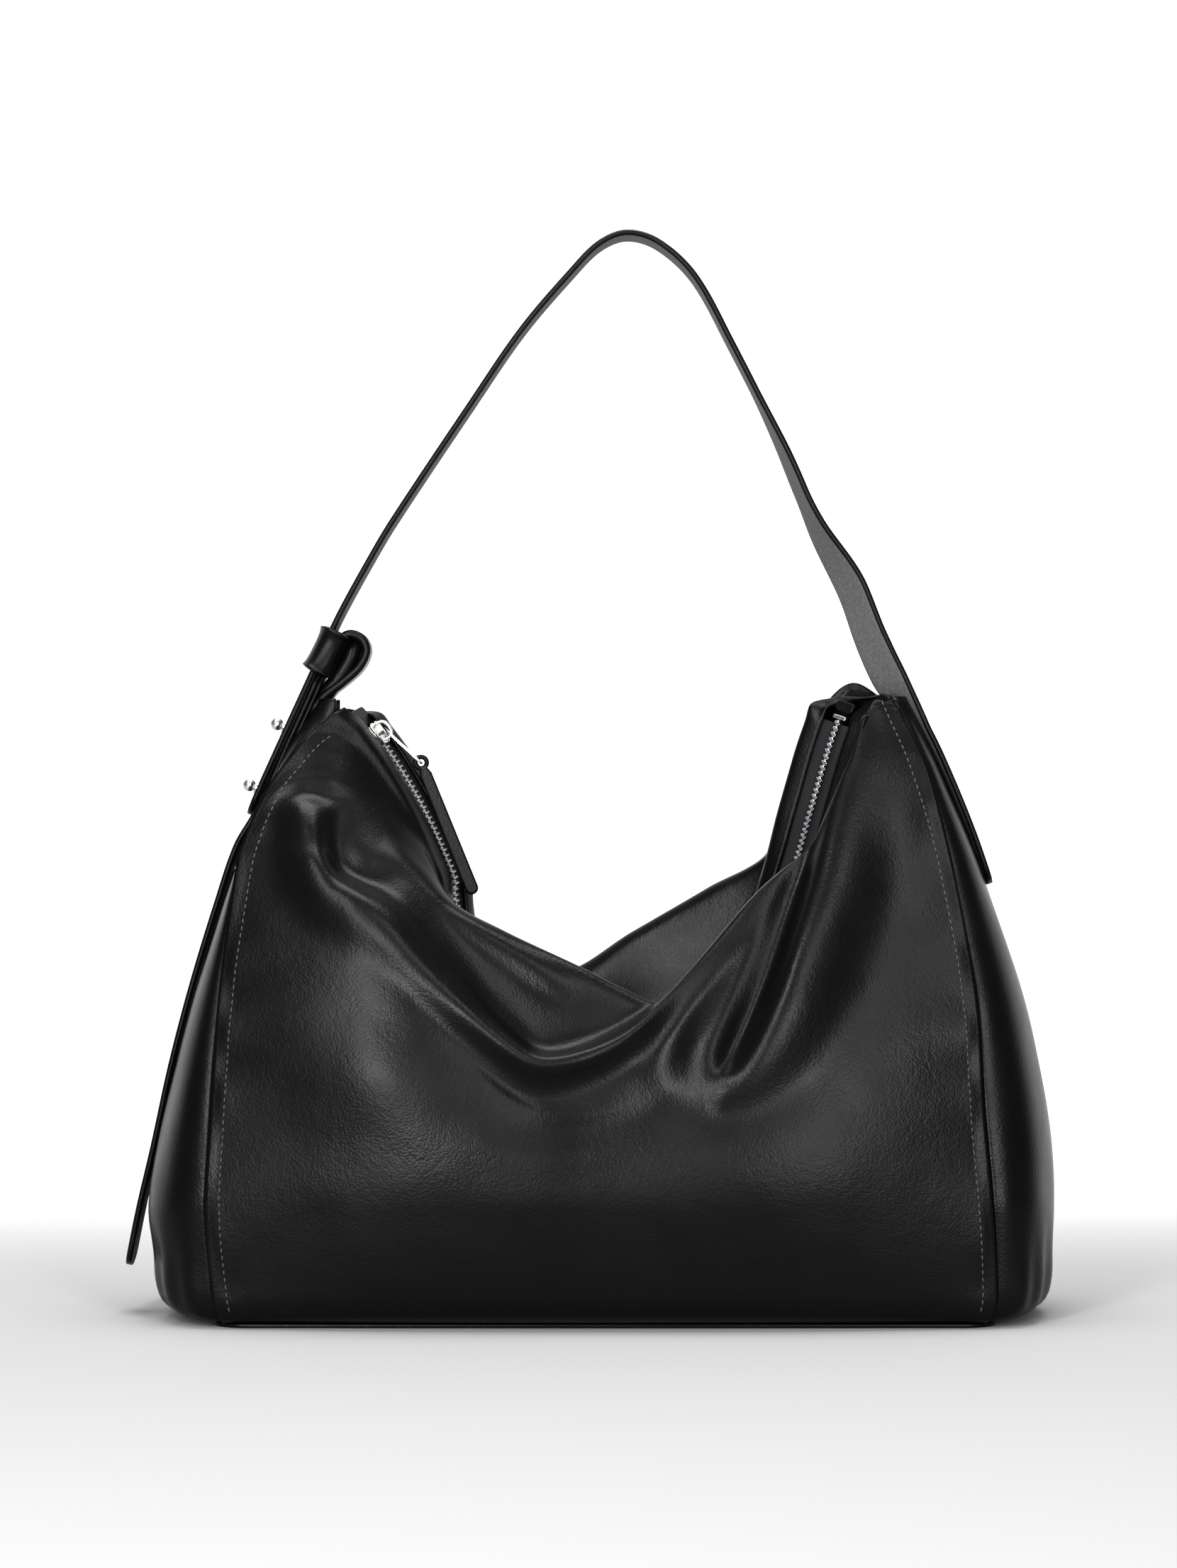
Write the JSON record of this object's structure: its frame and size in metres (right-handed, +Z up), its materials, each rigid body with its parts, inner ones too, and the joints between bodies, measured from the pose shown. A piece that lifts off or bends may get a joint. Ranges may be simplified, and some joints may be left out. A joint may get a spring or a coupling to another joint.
{
  "type": "hobo bag",
  "caption": "Slouchy black leather hobo bag with a slumped zip mouth, side gussets, a shoulder strap held by studs and a knotted keeper, and a long strap tail.",
  "frame": {"origin": "centre of the flat underside of the base", "axes": "+Z up, towards the shoulder strap; the front panel faces -Y; the strap tail and zip slider are on the -X side"},
  "size_m": [0.4318, 0.156, 0.5036],
  "materials": {
    "body_leather": "smooth black nappa with a fine grain and a soft sheen",
    "strap_leather": "smooth black strap leather, with an unfinished grey underside",
    "lining": "black woven cotton",
    "board": "stiffener board",
    "zip_tape": "black woven tape",
    "zip_metal": "polished gunmetal teeth and slider",
    "nickel": "polished nickel"
  },
  "bodies": {
    "root": {"front_panel": "body_leather", "back_panel": "body_leather", "gusset_left": "body_leather", "gusset_right": "body_leather", "base_panel": "body_leather", "base_board": "board", "base_lining": "lining", "front_lining": "lining", "back_lining": "lining", "gusset_lining_left": "lining", "gusset_lining_right": "lining", "inner_pocket": "lining", "zip_tape_front": "zip_tape", "zip_tape_back": "zip_tape", "zip_teeth_front": "zip_metal", "zip_teeth_back": "zip_metal", "zip_stop_left": "zip_metal", "zip_stop_right": "zip_metal", "zip_end_tab_left": "body_leather", "zip_end_tab_right": "body_leather", "strap_stud_run": "strap_leather", "strap_right_end": "strap_leather", "side_band_left": "strap_leather", "knot_keeper": "strap_leather", "knot_loop": "strap_leather", "stud_upper": "nickel", "stud_lower": "nickel", "stud_washer_upper": "nickel", "stud_washer_lower": "nickel"},
    "strap": {"shoulder_strap": "strap_leather"},
    "tail": {"strap_tail": "strap_leather"},
    "slider": {"slider_body": "zip_metal", "slider_bridge": "zip_metal"},
    "pull": {"pull_bar": "nickel"},
    "tab": {"pull_tab": "strap_leather"}
  },
  "joints": [
    {"name": "strap_swing", "type": "hinge", "parent": "root", "child": "strap", "pos_m": [-0.1085, 0, 0.349], "axis": [0.999, 0, -0.0436], "range_deg": [-110, 110]},
    {"name": "tail_swing", "type": "hinge", "parent": "root", "child": "tail", "pos_m": [-0.16427, 0, 0.23512], "axis": [0, 1, 0], "range_deg": [0, 60]},
    {"name": "zip_slide", "type": "hinge", "parent": "root", "child": "slider", "pos_m": [-0.314, 0, 0.114], "axis": [0, 1, 0], "range_deg": [0, 12]},
    {"name": "pull_bar_swing", "type": "hinge", "parent": "slider", "child": "pull", "pos_m": [-0.10071, 0, 0.27178], "axis": [0, -1, 0], "range_deg": [0, 70]},
    {"name": "pull_tab_swing", "type": "hinge", "parent": "pull", "child": "tab", "pos_m": [-0.08419, 0, 0.25636], "axis": [0, -1, 0], "range_deg": [0, 60]}
  ]
}
